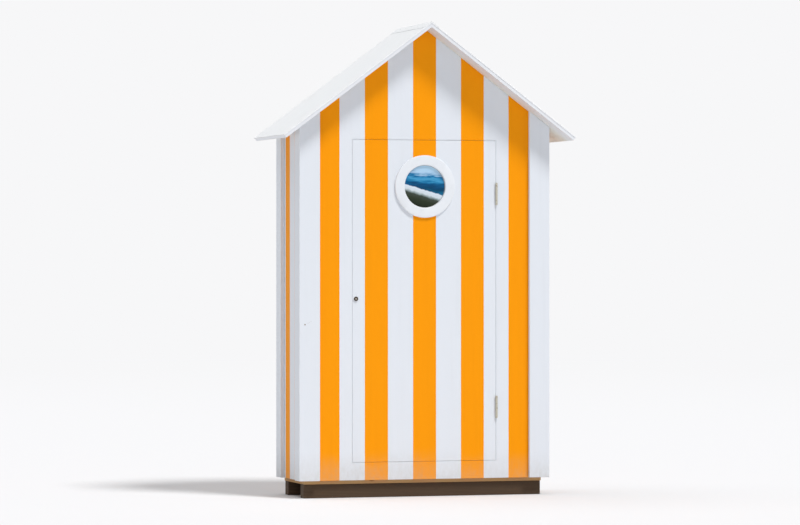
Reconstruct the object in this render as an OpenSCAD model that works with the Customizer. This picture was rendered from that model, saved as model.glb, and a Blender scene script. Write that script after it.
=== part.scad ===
// Striped beach hut: a shallow timber cabin with a pitched roof and one outward-opening door.
// The front faces -Y and the origin lies on the ground, under the middle of the roof.

/* [Body] */
// Width of the hut over its corner boards
hut_w = 1500; // [1300:10:1800]
// Depth of the hut over its corner boards
hut_d = 500; // [450:10:900]
// Height of the walls at their outer corners, up to the soffit
wall_h = 2022; // [1950:1:2200]
// Height of the walls' lower edge above the ground
wall_z = 100; // [90:1:150]

/* [Roof] */
// Pitch of both roof slopes, in degrees
roof_pitch = 36.6; // [30:0.1:42]
// How far the roof passes the corner boards at the front
front_overhang = 118; // [60:1:220]
// How far the roof passes the corner boards at the back
back_overhang = 42; // [20:1:150]
// How far each eave passes the corner boards, measured level
eave_overhang = 123; // [60:1:180]
// Thickness of the roof boards
roof_board_t = 18; // [12:1:22]
// Thickness of the roof sheet on the boards
roof_sheet_t = 6; // [3:1:10]
// How far the sheet passes the edges of the boards
sheet_drip = 2; // [0:1:12]
// Width of each leg of the ridge strip
ridge_strip_w = 55; // [30:1:100]
// Thickness of the ridge strip
ridge_strip_t = 2; // [1:0.5:4]
// Height of the ridge beam
ridge_beam_h = 90; // [70:1:120]

/* [Walls] */
// Thickness of the wall panels
panel_t = 18; // [12:1:25]
// Thickness of the corner boards
corner_t = 22; // [15:1:30]
// Width of a corner board on the front and back
corner_w = 122; // [90:1:150]
// Width of a corner board on the sides
corner_side_w = 100; // [80:1:130]
// Width of the white stripes
white_stripe = 150; // [120:1:170]
// Width of the outermost coloured stripes
outer_stripe = 121; // [90:1:140]
// Width of a coloured stripe on the sides
side_stripe = 91; // [60:1:110]
// Width of the white stripe between the coloured ones on the sides
side_white = 102; // [60:1:130]
// Width of the white strip between the last coloured stripe and the back corner board
side_strip = 28; // [10:1:60]
// Side of the square timber in the wall frame
stud = 45; // [35:1:60]

/* [Floor] */
// Height of the floor joists
joist_h = 92; // [70:1:120]
// How far the joists show under the walls
joist_show = 20; // [0:1:40]
// Thickness of the floor boards
floor_t = 20; // [15:1:28]
// Width of a ground bearer
bearer_w = 70; // [45:1:90]
// How far the bearers stand back from the joists
bearer_setback = 12; // [0:1:30]

/* [Door] */
// Height of the middle of the joint under the door, above the walls' lower edge
door_low = 100; // [98:1:130]
// Height of the door between the middles of its joints
door_h = 1843; // [1700:1:1880]
// Width of the joint round the door
door_gap = 6; // [6:0.5:10]
// Thickness of the stiles and rails behind the door panel
door_frame_t = 27; // [20:1:35]
// Width of the door's stiles and top rail
stile_w = 70; // [65:1:90]
// Width of the door's lower two rails
rail_w = 110; // [70:1:140]
// Width of the diagonal brace
brace_w = 70; // [50:1:90]
// How far the stop strips stand into the doorway
stop_w = 25; // [15:1:30]
// Space between the closed door and its stops
stop_gap = 6; // [5:0.5:8]

/* [Porthole] */
// Distance of the porthole's middle below the joint over the door
port_drop = 268; // [266:1:400]
// Radius of the glass that shows
port_view_r = 122; // [100:1:130]
// Outer radius of the outer ring
port_ring_r = 179; // [165:1:190]
// Thickness of the outer ring
port_ring_t = 12; // [8:1:20]
// Outer radius of the inner ring
port_inner_r = 162; // [150:1:170]
// Thickness of the inner ring
port_inner_t = 10; // [6:1:16]
// Radius of the rounding on the rings' edges
port_round = 4; // [2:0.5:5]
// How far the glass and its seat reach behind the rings
port_lap = 8; // [5:0.5:12]
// Thickness of the glass
glass_t = 5; // [4:0.5:8]

/* [Hinges] */
// Height of a hinge
hinge_h = 125; // [100:5:160]
// Distance from a hinge to the door's near corner
hinge_end = 246; // [150:1:300]
// Radius of the knuckles
knuckle_r = 6.5; // [5.5:0.1:8]
// Radius of the hinge pins
pin_r = 3.4; // [2.5:0.1:4]
// Running clearance of a pin in a knuckle
pin_clear = 0.05; // [0.02:0.01:0.1]
// Thickness of the hinge leaves
leaf_t = 2.5; // [2:0.1:2.8]
// Depth of the hinge leaves inside the joint
leaf_d = 36; // [25:1:44]
// Number of knuckles on a hinge
knuckles = 5; // [3:2:7]

/* [Lock] */
// Height of the lock above the joint under the door
lock_z = 933; // [850:1:1000]
// Distance from the lock's middle to the middle of the door joint
lock_in = 22; // [21:0.5:30]
// Radius of the lock cylinder
lock_r = 12; // [10:0.5:13]
// Radius of the lock's turning core
core_r = 7.5; // [6:0.1:8]
// Radius of the rosette
rosette_r = 18; // [15:0.5:18.5]
// Thickness of the rosette
rosette_t = 3; // [2:0.5:5]
// Height of the lock case behind the door
case_h = 90; // [70:1:110]
// Width of the lock case
case_w = 66; // [50:1:80]
// Thickness of the lock case
case_t = 18; // [14:1:22]
// Distance of the lock case from the edge of the door
case_inset = 6; // [5:0.5:10]

/* [Hidden] */
$fn = 96;

// Colours of the finishes
orange = [1.0, 0.62, 0.0];
white = [0.93, 0.94, 0.97];
roof_white = [0.97, 0.97, 0.98];
timber = [0.78, 0.62, 0.42];
dark_timber = [0.42, 0.32, 0.22];
steel = [0.72, 0.70, 0.64];
glass_blue = [0.35, 0.55, 0.75];

// Plan: the roof is centred on the origin, and the body stands behind the front overhang
body_front = -(front_overhang + hut_d + back_overhang) / 2 + front_overhang;
body_back = body_front + hut_d;
face_y = body_front + corner_t;
back_y = body_back - corner_t;
side_x = hut_w / 2 - corner_t;
roof_front = body_front - front_overhang;
roof_back = body_back + back_overhang;
inner_x = side_x - panel_t;
inner_front = face_y + panel_t;
inner_back = back_y - panel_t;

// Bays between the floor joists, and the middle of each of the two studs in the back wall
floor_bays = 3;
back_stud_x = inner_x / 3;

// Heights
joist_z = wall_z - joist_show;
floor_z = joist_z + joist_h + floor_t;
door_z = wall_z + door_low;
door_top = door_z + door_h;

// Stripes on the front, from the middle outwards
inner_stripe = (hut_w - 2 * corner_w - 2 * outer_stripe - 4 * white_stripe) / 3;
stripe_edges = [0, inner_stripe / 2, inner_stripe / 2 + white_stripe,
    3 * inner_stripe / 2 + white_stripe, 3 * inner_stripe / 2 + 2 * white_stripe,
    hut_w / 2 - corner_w];

// The door's joints run down the middle of the white stripes beside it
joint_x = (stripe_edges[3] + stripe_edges[4]) / 2;
half_gap = door_gap / 2;
leaf_x = joint_x - half_gap;
jamb_x = joint_x + half_gap;
door_back_y = face_y + panel_t + door_frame_t;
stop_y = door_back_y + stop_gap;
lock_edge_inset = 3;
rail_x = leaf_x - stile_w;
low_rail_top = door_z + half_gap + rail_w;
// A seam of paint is left between pieces of one node that butt
seam = 1;
// Thickness of the mastic under the roof boards and of the paint under the rafters
film = 0.05;

// Hinges: the knuckles stand clear of the face by this much
knuckle_clear = 0.5;
hinge_x = joint_x;
hinge_y = face_y - knuckle_r - knuckle_clear;
knuckle_gap = 0.4;
// A knuckle's tab starts this far behind the pin's axis
tab_y = knuckle_r * 0.7;
pin_head_r = 5;
pin_head_t = 2;
upper_hinge_z = door_top - hinge_end - hinge_h;
lower_hinge_z = door_z + hinge_end;

// Porthole and lock
port_height = door_top - port_drop;
hole_r = port_view_r + port_lap;
glass_clear = 1;
ring_clear = 0.3;
lock_x = -joint_x + lock_in;
lock_height = door_z + lock_z;
lock_rail_low = lock_height - rail_w / 2;
lock_proud = 4;
lock_clear = 0.3;
case_edge = -leaf_x + case_inset;
// The groove round the lock's core, and its keyhole
groove_d = 1.2;
groove_rim = 1.5;
key_w = 2.6;
key_h = 10;
key_d = 12;
keep_t = 2.5;
keep_w = 20;
keep_extra = 12;
stop_cut = 25;

tan_pitch = tan(roof_pitch);
cos_pitch = cos(roof_pitch);
ridge_soffit = wall_z + wall_h + hut_w / 2 * tan_pitch;
rafter_drop = (stud + film) / cos_pitch;
eave_x = hut_w / 2 + eave_overhang;
roof_t = roof_board_t + roof_sheet_t + 2 * film;

// Height of the soffit over a place across the hut
function soffit(x) = ridge_soffit - abs(x) * tan_pitch;

// Outline of a board on edge from x0 to x1, from z0 up to the slope, lowered by drop
module under_slope(x0, x1, z0, drop = 0) {
    ridge = x0 < 0 && x1 > 0 ? [[0, soffit(0) - drop]] : [];
    polygon(concat([[x0, z0], [x1, z0], [x1, soffit(x1) - drop]], ridge, [[x0, soffit(x0) - drop]]));
}

// Stands an outline drawn in x and z upright, between two places from front to back
module upright(y0, y1) {
    translate([0, y1, 0]) rotate([90, 0, 0]) linear_extrude(y1 - y0) children();
}

// A square-cut piece between two corners
module block(low, high) {
    translate(low) cube(high - low);
}

// The same piece on the left and on the right
module both_sides() {
    children();
    mirror([1, 0, 0]) children();
}

// Part of the striped front between x0 and x1, cut off at z0 and at top where one is given
module striped_panel(x0, x1, z0, top = undef, y0 = face_y, y1 = inner_front) {
    last = len(stripe_edges) - 1;
    left = [for (i = [last:-1:1]) -stripe_edges[i]];
    right = [for (i = [1:last]) stripe_edges[i]];
    ends = concat([-side_x], left, right, [side_x]);
    for (i = [0:len(ends) - 2]) {
        a = max(ends[i], x0);
        b = min(ends[i + 1], x1);
        if (b > a)
            color(i % 2 == 1 ? orange : white)
                upright(y0, y1)
                    if (is_undef(top)) under_slope(a, b, z0);
                    else translate([a, z0]) square([b - a, top - z0]);
    }
}

module bearers() {
    setback = inner_front + bearer_setback;
    color(dark_timber) {
        block([-inner_x, setback, 0], [inner_x, setback + bearer_w, joist_z]);
        block([-inner_x, inner_back - bearer_setback - bearer_w, 0],
            [inner_x, inner_back - bearer_setback, joist_z]);
    }
}

module floor_rims() {
    color(timber) {
        block([-inner_x, inner_front, joist_z], [inner_x, inner_front + stud, joist_z + joist_h]);
        block([-inner_x, inner_back - stud, joist_z], [inner_x, inner_back, joist_z + joist_h]);
    }
}

module floor_joists() {
    pitch = (2 * inner_x - stud) / floor_bays;
    color(timber)
        for (i = [0:floor_bays])
            translate([-inner_x + i * pitch, inner_front + stud, joist_z])
                cube([stud, inner_back - inner_front - 2 * stud, joist_h]);
}

module floor_boards() {
    color(timber) block([-inner_x, inner_front, floor_z - floor_t], [inner_x, inner_back, floor_z]);
}

module front_left_panel() {
    striped_panel(-side_x, -jamb_x, wall_z);
}

module front_right_panel() {
    striped_panel(jamb_x, side_x, wall_z);
}

module front_gable_panel() {
    striped_panel(-jamb_x, jamb_x, door_top + half_gap);
}

module front_sill_panel() {
    striped_panel(-jamb_x, jamb_x, wall_z, door_z - half_gap);
}

// The left wall panel between the front and back panels, with its two coloured stripes
module side_panel() {
    last = body_back - corner_side_w - side_strip;
    first = last - side_stripe - side_white;
    cuts = [inner_front, first - side_stripe, first, last - side_stripe, last, inner_back];
    for (i = [0:len(cuts) - 2]) {
        from = max(cuts[i], inner_front);
        if (cuts[i + 1] > from)
            color(i % 2 == 1 ? orange : white)
                upright(from, cuts[i + 1]) under_slope(-side_x, -inner_x, wall_z);
    }
}

module left_panel() {
    side_panel();
}

module right_panel() {
    mirror([1, 0, 0]) side_panel();
}

// The back wall repeats the stripes of the front
module back_panel() {
    striped_panel(-side_x, side_x, wall_z, y0 = inner_back, y1 = back_y);
}

// Plan of a corner board round a corner at the origin, its legs towards +X and +Y
module corner_plan() {
    polygon([[0, 0], [corner_w, 0], [corner_w, corner_t], [corner_t, corner_t],
        [corner_t, corner_side_w], [0, corner_side_w]]);
}

// A corner board at the front left, from the walls' lower edge up to the soffit
module corner_board() {
    color(white) intersection() {
        translate([-hut_w / 2, body_front, wall_z]) linear_extrude(ridge_soffit - wall_z) corner_plan();
        upright(body_front, body_back) under_slope(-hut_w / 2, -hut_w / 2 + corner_w, wall_z);
    }
}

module front_left_corner() {
    corner_board();
}

module front_right_corner() {
    mirror([1, 0, 0]) corner_board();
}

module back_left_corner() {
    translate([0, body_front + body_back, 0]) mirror([0, 1, 0]) corner_board();
}

module back_right_corner() {
    translate([0, body_front + body_back, 0]) mirror([0, 1, 0]) mirror([1, 0, 0]) corner_board();
}

// Posts stand on the floor boards and stop under the rafters
module corner_posts() {
    color(timber) both_sides() {
        upright(inner_front, inner_front + stud)
            under_slope(-inner_x, -inner_x + stud, floor_z, rafter_drop);
        upright(inner_back - stud, inner_back)
            under_slope(-inner_x, -inner_x + stud, floor_z, rafter_drop);
    }
}

module door_posts() {
    color(timber) both_sides()
        upright(inner_front, inner_front + stud)
            under_slope(-jamb_x - stud, -jamb_x, floor_z, rafter_drop);
}

module door_header() {
    color(timber)
        block([-jamb_x, inner_front, door_top + half_gap],
            [jamb_x, inner_front + stud, door_top + half_gap + stud]);
}

// Short studs over the door carry the gable panel, and two long ones stand in the back wall
module studs() {
    color(timber) both_sides() {
        upright(inner_front, inner_front + stud)
            under_slope(-jamb_x / 2 - stud, -jamb_x / 2, door_top + half_gap + stud, rafter_drop);
        upright(inner_back - stud, inner_back)
            under_slope(-back_stud_x - stud / 2, -back_stud_x + stud / 2, floor_z, rafter_drop);
    }
}

// Outline of one rafter, from the wall panel to the ridge beam
module rafter_outline() {
    x0 = -inner_x;
    x1 = -stud / 2;
    polygon([[x0, soffit(x0) - rafter_drop], [x1, soffit(x1) - rafter_drop],
        [x1, soffit(x1)], [x0, soffit(x0)]]);
}

module rafters() {
    color(timber) both_sides() {
        upright(inner_front, inner_front + stud) rafter_outline();
        upright(inner_back - stud, inner_back) rafter_outline();
    }
}

module ridge_beam() {
    color(timber)
        upright(inner_front, inner_back)
            under_slope(-stud / 2, stud / 2, ridge_soffit - ridge_beam_h);
}

// Rails between the corner posts: one half way up each side, and one under each eave
module side_rails() {
    middle_z = wall_z + wall_h / 2;
    y0 = inner_front + stud;
    y1 = inner_back - stud;
    color(timber) both_sides() {
        block([-inner_x, y0, middle_z], [-inner_x + stud, y1, middle_z + stud]);
        upright(y0, y1)
            under_slope(-inner_x, -inner_x + stud, soffit(inner_x) - 2 * stud);
    }
}

module back_rails() {
    z0 = wall_z + wall_h / 2;
    post_x = inner_x - stud;
    stud_x = back_stud_x + stud / 2;
    color(timber) {
        both_sides()
            block([-post_x, inner_back - stud, z0], [-stud_x, inner_back, z0 + stud]);
        block([-stud_x + stud, inner_back - stud, z0], [stud_x - stud, inner_back, z0 + stud]);
    }
}

// Stop strips on the posts, the header and the floor, left out where the lock case passes
module door_stops() {
    y1 = inner_front + stud;
    low = floor_z + floor_t + seam;
    high = door_top + half_gap;
    cut = case_h / 2 + stop_cut;
    color(white) {
        block([-jamb_x, stop_y, low], [-jamb_x + stop_w, y1, lock_height - cut]);
        block([-jamb_x, stop_y, lock_height + cut], [-jamb_x + stop_w, y1, high]);
        block([jamb_x - stop_w, stop_y, low], [jamb_x, y1, high]);
        block([-jamb_x + stop_w + seam, stop_y, high - stop_w], [jamb_x - stop_w - seam, y1, high]);
        block([-jamb_x, stop_y, floor_z], [jamb_x, y1, floor_z + floor_t]);
    }
}

// Left half of a roof layer: lift is its distance over the soffit, t its thickness
// and inset how far its edges stand back from those of the whole roof
module roof_layer(lift, t, inset) {
    x = -eave_x + roof_t * sin(roof_pitch) + inset * cos_pitch;
    foot = [x, soffit(x)];
    up = [-sin(roof_pitch), cos_pitch];
    top0 = ridge_soffit + lift / cos_pitch;
    top1 = ridge_soffit + (lift + t) / cos_pitch;
    upright(roof_front + inset, roof_back - inset)
        polygon([foot + lift * up, [0, top0], [0, top1], foot + (lift + t) * up]);
}

module roof_left_board() {
    color(roof_white) roof_layer(film, roof_board_t, sheet_drip);
}

module roof_right_board() {
    color(roof_white) mirror([1, 0, 0]) roof_layer(film, roof_board_t, sheet_drip);
}

module roof_left_sheet() {
    color(roof_white) roof_layer(roof_board_t + 2 * film, roof_sheet_t, 0);
}

module roof_right_sheet() {
    color(roof_white) mirror([1, 0, 0]) roof_layer(roof_board_t + 2 * film, roof_sheet_t, 0);
}

module ridge_strip() {
    t = ridge_strip_t / cos_pitch;
    top = ridge_soffit + (roof_t + film) / cos_pitch;
    run = ridge_strip_w * cos_pitch;
    drop = run * tan_pitch;
    color(roof_white) upright(roof_front, roof_back)
        polygon([[-run, top - drop], [0, top], [run, top - drop],
            [run, top - drop + t], [0, top + t], [-run, top - drop + t]]);
}

module door_panel() {
    difference() {
        striped_panel(-leaf_x, leaf_x, door_z + half_gap, door_top - half_gap);
        translate([0, inner_front + seam, port_height])
            rotate([90, 0, 0]) cylinder(r = hole_r, h = panel_t + 2 * seam);
        translate([lock_x, inner_front + seam, lock_height])
            rotate([90, 0, 0]) cylinder(r = lock_r + lock_clear, h = panel_t + 2 * seam);
    }
}

// Stiles stand at both edges of the door; the one at the lock stands back from the edge
module door_stiles() {
    low = door_z + half_gap;
    high = door_top - half_gap;
    color(white) {
        difference() {
            block([-leaf_x + lock_edge_inset, inner_front, low], [-leaf_x + stile_w, door_back_y, high]);
            translate([lock_x, door_back_y + seam, lock_height])
                rotate([90, 0, 0]) cylinder(r = lock_r + lock_clear, h = door_frame_t + 2 * seam);
        }
        block([leaf_x - stile_w, inner_front, low], [leaf_x, door_back_y, high]);
    }
}

module door_rails() {
    top = door_top - half_gap;
    color(white) {
        block([-rail_x, inner_front, door_z + half_gap], [rail_x, door_back_y, low_rail_top]);
        block([-rail_x, inner_front, lock_rail_low], [rail_x, door_back_y, lock_rail_low + rail_w]);
        block([-rail_x, inner_front, top - stile_w], [rail_x, door_back_y, top]);
    }
}

// The brace rises from the hinge side, and is cut to fit between the lower rails
module door_brace() {
    rise = lock_rail_low - low_rail_top;
    run = 2 * rail_x;
    angle = atan(rise / run);
    color(white) upright(inner_front, door_back_y)
        intersection() {
            translate([-rail_x, low_rail_top]) square([run, rise]);
            translate([0, low_rail_top + rise / 2]) rotate(-angle)
                square([2 * run, brace_w], center = true);
        }
}

// Section of a ring from r0 to r1 and t thick, with its two free edges rounded
module ring_section(r0, r1, t) {
    translate([r0, 0]) square([r1 - r0, t - port_round]);
    translate([r0 + port_round, 0]) square([r1 - r0 - 2 * port_round, t]);
    for (x = [r0 + port_round, r1 - port_round])
        translate([x, t - port_round]) circle(r = port_round);
}

module porthole_outer_ring() {
    color(white) translate([0, face_y, port_height]) rotate([90, 0, 0])
        rotate_extrude() ring_section(port_view_r, port_ring_r, port_ring_t);
}

// The inner ring's spigot holds the glass against the back of the outer ring
module porthole_inner_ring() {
    spigot = panel_t - glass_t;
    color(white) translate([0, inner_front, port_height]) rotate([-90, 0, 0])
        rotate_extrude() {
            ring_section(port_view_r, port_inner_r, port_inner_t);
            translate([port_view_r, -spigot]) square([port_lap - ring_clear, spigot + seam]);
        }
}

module porthole_glass() {
    color(glass_blue) translate([0, face_y + glass_t, port_height])
        rotate([90, 0, 0]) cylinder(r = hole_r - glass_clear, h = glass_t);
}

// The cylinder runs through the door, with a groove round its core and a keyhole in it
module lock_cylinder() {
    nose_y = face_y - rosette_t - lock_proud;
    color(steel) difference() {
        translate([lock_x, door_back_y, lock_height])
            rotate([90, 0, 0]) cylinder(r = lock_r, h = door_back_y - nose_y);
        translate([lock_x, nose_y + groove_d, lock_height]) rotate([90, 0, 0])
            difference() {
                cylinder(r = lock_r - groove_rim, h = 2 * groove_d);
                translate([0, 0, -seam]) cylinder(r = core_r, h = 2 * groove_d + 2 * seam);
            }
        translate([lock_x - key_w / 2, nose_y - seam, lock_height - key_h / 2])
            cube([key_w, key_d + seam, key_h]);
    }
}

module lock_rosette() {
    color(steel) translate([lock_x, face_y, lock_height]) rotate([90, 0, 0]) difference() {
        cylinder(r = rosette_r, h = rosette_t);
        translate([0, 0, -seam]) cylinder(r = lock_r + lock_clear, h = rosette_t + 2 * seam);
    }
}

module lock_case() {
    color(steel)
        block([case_edge, door_back_y, lock_height - case_h / 2],
            [case_edge + case_w, door_back_y + case_t, lock_height + case_h / 2]);
}

// The keep lies on the post, with a slot for the bolt
module lock_keep() {
    slot_h = case_h / 2;
    slot_w = keep_w / 3;
    y0 = inner_front + stud - keep_w;
    color(steel) difference() {
        block([-jamb_x, y0, lock_height - case_h / 2 - keep_extra],
            [-jamb_x + keep_t, y0 + keep_w, lock_height + case_h / 2 + keep_extra]);
        block([-jamb_x - seam, y0 + slot_w, lock_height - slot_h / 2],
            [-jamb_x + keep_t + seam, y0 + 2 * slot_w, lock_height + slot_h / 2]);
    }
}

// One leaf of a hinge with its foot at z: side is 1 on the wall and -1 on the door,
// and first is the number of its lowest knuckle
module hinge_leaf(z, side, first) {
    pitch = hinge_h / knuckles;
    plate_y = knuckle_r + knuckle_clear / 2;
    outer = half_gap;
    inner = half_gap - leaf_t;
    color(steel) translate([hinge_x, hinge_y, z]) difference() {
        union() {
            translate([side > 0 ? inner : -outer, plate_y, 0])
                cube([leaf_t, face_y - hinge_y - plate_y + leaf_d, hinge_h]);
            for (i = [first:2:knuckles - 1])
                translate([0, 0, i * pitch + knuckle_gap / 2]) {
                    cylinder(r = knuckle_r, h = pitch - knuckle_gap);
                    translate([side > 0 ? inner : -outer, tab_y, 0])
                        cube([leaf_t, plate_y - tab_y + seam, pitch - knuckle_gap]);
                }
        }
        translate([0, 0, -seam]) cylinder(r = pin_r + pin_clear, h = hinge_h + 2 * seam);
    }
}

module hinge_pin(z) {
    translate([hinge_x, hinge_y, z]) {
        cylinder(r = pin_r, h = hinge_h);
        translate([0, 0, hinge_h - knuckle_gap / 2]) cylinder(r = pin_head_r, h = pin_head_t);
        translate([0, 0, knuckle_gap / 2 - pin_head_t]) cylinder(r = pin_head_r, h = pin_head_t);
    }
}

module upper_hinge_wall_leaf() {
    hinge_leaf(upper_hinge_z, 1, 0);
}

module upper_hinge_door_leaf() {
    hinge_leaf(upper_hinge_z, -1, 1);
}

module lower_hinge_wall_leaf() {
    hinge_leaf(lower_hinge_z, 1, 0);
}

module lower_hinge_door_leaf() {
    hinge_leaf(lower_hinge_z, -1, 1);
}

module hinge_pins() {
    color(steel) {
        hinge_pin(upper_hinge_z);
        hinge_pin(lower_hinge_z);
    }
}

bearers();
floor_joists();
floor_rims();
floor_boards();
front_left_panel();
front_right_panel();
front_gable_panel();
front_sill_panel();
left_panel();
right_panel();
back_panel();
front_left_corner();
front_right_corner();
back_left_corner();
back_right_corner();
corner_posts();
door_posts();
door_header();
studs();
rafters();
ridge_beam();
side_rails();
back_rails();
door_stops();
roof_left_board();
roof_right_board();
roof_left_sheet();
roof_right_sheet();
ridge_strip();
door_panel();
door_stiles();
door_rails();
door_brace();
porthole_outer_ring();
porthole_inner_ring();
porthole_glass();
lock_cylinder();
lock_rosette();
lock_case();
lock_keep();
upper_hinge_wall_leaf();
upper_hinge_door_leaf();
lower_hinge_wall_leaf();
lower_hinge_door_leaf();
hinge_pins();
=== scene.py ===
"""Looks of a striped beach hut: the finish of each surface, and its planks, nails and screws."""

import math
import random

import bpy
from mathutils import Matrix, Vector


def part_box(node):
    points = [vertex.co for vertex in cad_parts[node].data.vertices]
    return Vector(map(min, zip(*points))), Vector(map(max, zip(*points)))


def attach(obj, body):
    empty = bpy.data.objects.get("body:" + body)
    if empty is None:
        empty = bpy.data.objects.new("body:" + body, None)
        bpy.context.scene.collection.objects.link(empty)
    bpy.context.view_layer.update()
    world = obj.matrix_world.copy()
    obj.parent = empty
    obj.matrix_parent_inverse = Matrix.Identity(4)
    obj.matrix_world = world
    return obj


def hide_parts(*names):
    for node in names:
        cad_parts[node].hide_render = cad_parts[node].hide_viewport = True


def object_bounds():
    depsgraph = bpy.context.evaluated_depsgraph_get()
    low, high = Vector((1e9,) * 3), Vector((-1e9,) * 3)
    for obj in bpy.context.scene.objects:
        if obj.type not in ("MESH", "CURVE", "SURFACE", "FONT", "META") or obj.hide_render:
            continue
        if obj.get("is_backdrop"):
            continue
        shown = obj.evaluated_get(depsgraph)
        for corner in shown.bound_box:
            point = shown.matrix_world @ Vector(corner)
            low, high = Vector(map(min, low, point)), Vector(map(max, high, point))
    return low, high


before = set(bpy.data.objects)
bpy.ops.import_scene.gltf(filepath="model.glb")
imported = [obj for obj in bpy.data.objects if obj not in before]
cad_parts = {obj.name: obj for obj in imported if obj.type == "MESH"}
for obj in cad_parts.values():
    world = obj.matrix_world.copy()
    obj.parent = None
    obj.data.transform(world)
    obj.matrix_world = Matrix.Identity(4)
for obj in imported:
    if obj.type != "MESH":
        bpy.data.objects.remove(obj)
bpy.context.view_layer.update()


# The camera
# A long lens stands level, far out in front and to the left of the door, so that the front
# shows almost square with a narrow strip of the left wall beside it.
camera_spot = (-6.476, -20.762, 1.340)
camera_turn = math.radians(17.10)
camera_lens = 169.515
camera_reach = 300

bpy.ops.object.camera_add(location=camera_spot, rotation=(math.radians(90), 0, -camera_turn))
camera = bpy.context.object
camera.data.lens = camera_lens
camera.data.clip_end = camera_reach
bpy.context.scene.camera = camera


# The studio
# A pale matt floor runs out to the horizon under an even white sky. Two wide lamps, one high
# to the right of the door and one overhead, light the hut softly and the floor evenly.
floor_across = 500
floor_white = (0.76, 0.76, 0.77, 1)
background_white = (0.93, 0.93, 0.94, 1)
fade_from = 6
fade_to = 30
sky_share = 0.42
key_spot = (5.0, -9.0, 16.0)
key_strength = 2.2
key_angle = math.radians(14)
top_spot = (-4.0, 2.5, 14.0)
top_strength = 0.9
top_angle = math.radians(50)


class Wire:
    """One value of a finish. A sum written on it adds a Math node to the finish."""

    def __init__(self, finish, socket):
        self.finish = finish
        self.socket = socket

    def __add__(self, other):
        return self.finish.maths("ADD", self, other)

    def __sub__(self, other):
        return self.finish.maths("SUBTRACT", self, other)

    def __rsub__(self, other):
        return self.finish.maths("SUBTRACT", other, self)

    def __mul__(self, other):
        return self.finish.maths("MULTIPLY", self, other)

    def __gt__(self, other):
        return self.finish.maths("GREATER_THAN", self, other)

    def __lt__(self, other):
        return self.finish.maths("LESS_THAN", self, other)

    def __abs__(self):
        return self.finish.maths("ABSOLUTE", self)

    __radd__ = __add__
    __rmul__ = __mul__


class Finish:
    """The nodes of one finish, on a material or on the world."""

    def __init__(self, owner):
        owner.use_nodes = True
        self.owner = owner
        self.tree = owner.node_tree
        self.tree.nodes.clear()

    def node(self, kind, settings, sockets, out=0):
        """Adds a node: its settings first, then the values or links of its sockets."""
        made = self.tree.nodes.new(kind)
        for name, value in settings.items():
            if name == "stops":
                ramp = made.color_ramp.elements
                ramp.remove(ramp[1])
                for number, (position, colour) in enumerate(value):
                    stop = ramp[0] if number == 0 else ramp.new(position)
                    stop.position = position
                    stop.color = colour
            else:
                setattr(made, name, value)
        for name, value in sockets.items():
            if isinstance(value, Wire):
                self.tree.links.new(value.socket, made.inputs[name])
            else:
                made.inputs[name].default_value = value
        return Wire(self, made.outputs[out]) if made.outputs else None

    def maths(self, operation, *values):
        return self.node("ShaderNodeMath", {"operation": operation}, dict(enumerate(values)))

    def vectors(self, operation, *values, out="Vector"):
        sockets = dict(enumerate(values))
        return self.node("ShaderNodeVectorMath", {"operation": operation}, sockets, out)

    def place(self):
        """Where a point of the surface lies on the hut, in metres."""
        return self.node("ShaderNodeTexCoord", {}, {}, "Object")

    def axis(self, name):
        """One of x, y and z of that place."""
        return self.node("ShaderNodeSeparateXYZ", {}, {0: self.place()}, name.upper())

    def noise(self, pitch, detail=2):
        """Soft noise from 0 to 1 with so many features a metre along x, y and z."""
        spot = self.vectors("MULTIPLY", self.place(), pitch)
        return self.node("ShaderNodeTexNoise", {}, {"Vector": spot, "Scale": 1.0, "Detail": detail})

    def ease(self, value, start, end):
        """A smooth rise from 0 at start to 1 at end."""
        sockets = {"Value": value, "From Min": start, "From Max": end}
        return self.node("ShaderNodeMapRange", {"interpolation_type": "SMOOTHSTEP"}, sockets)

    def mix(self, share, first, second, how="MIX"):
        """A colour between two, by a share from 0 to 1, or the first one tinted by the second."""
        settings = {"data_type": "RGBA", "blend_type": how}
        return self.node("ShaderNodeMix", settings, {0: share, 6: first, 7: second}, 2)

    def skin(self, colour, roughness, relief, depth, **fixed):
        """The surface: its colour, its roughness, its relief in metres, and its fixed sockets."""
        normal = self.node("ShaderNodeBump", {}, {"Height": relief, "Distance": depth})
        sockets = {"Base Color": colour, "Roughness": roughness, "Normal": normal}
        for name, value in fixed.items():
            sockets[name.replace("_", " ")] = value
        self.show(self.node("ShaderNodeBsdfPrincipled", {}, sockets))
        return self.owner

    def show(self, shader, kind="ShaderNodeOutputMaterial"):
        self.node(kind, {}, {"Surface": shader})


bpy.context.scene.view_settings.view_transform = "Standard"

world = bpy.data.worlds.new("studio_sky")
bpy.context.scene.world = world
sky = Finish(world)
seen = (
    sky.node("ShaderNodeLightPath", {}, {}, "Is Camera Ray")
    + sky.node("ShaderNodeLightPath", {}, {}, "Is Glossy Ray")
    + sky.node("ShaderNodeLightPath", {}, {}, "Is Transmission Ray")
) > 0
sky_strength = seen * (1 - sky_share) + sky_share
sky_shader = sky.node(
    "ShaderNodeBackground", {}, {"Color": background_white, "Strength": sky_strength}
)
sky.show(sky_shader, "ShaderNodeOutputWorld")

ground = Finish(bpy.data.materials.new("studio_floor_paint"))
distance = ground.vectors("LENGTH", ground.place(), out="Value")
camera_ray = ground.node("ShaderNodeLightPath", {}, {}, "Is Camera Ray")
matt = ground.node("ShaderNodeBsdfDiffuse", {}, {"Color": floor_white})
haze = ground.node("ShaderNodeEmission", {}, {"Color": background_white})
far = ground.ease(distance, fade_from, fade_to) * camera_ray
ground.show(ground.node("ShaderNodeMixShader", {}, {0: far, 1: matt, 2: haze}))

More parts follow.
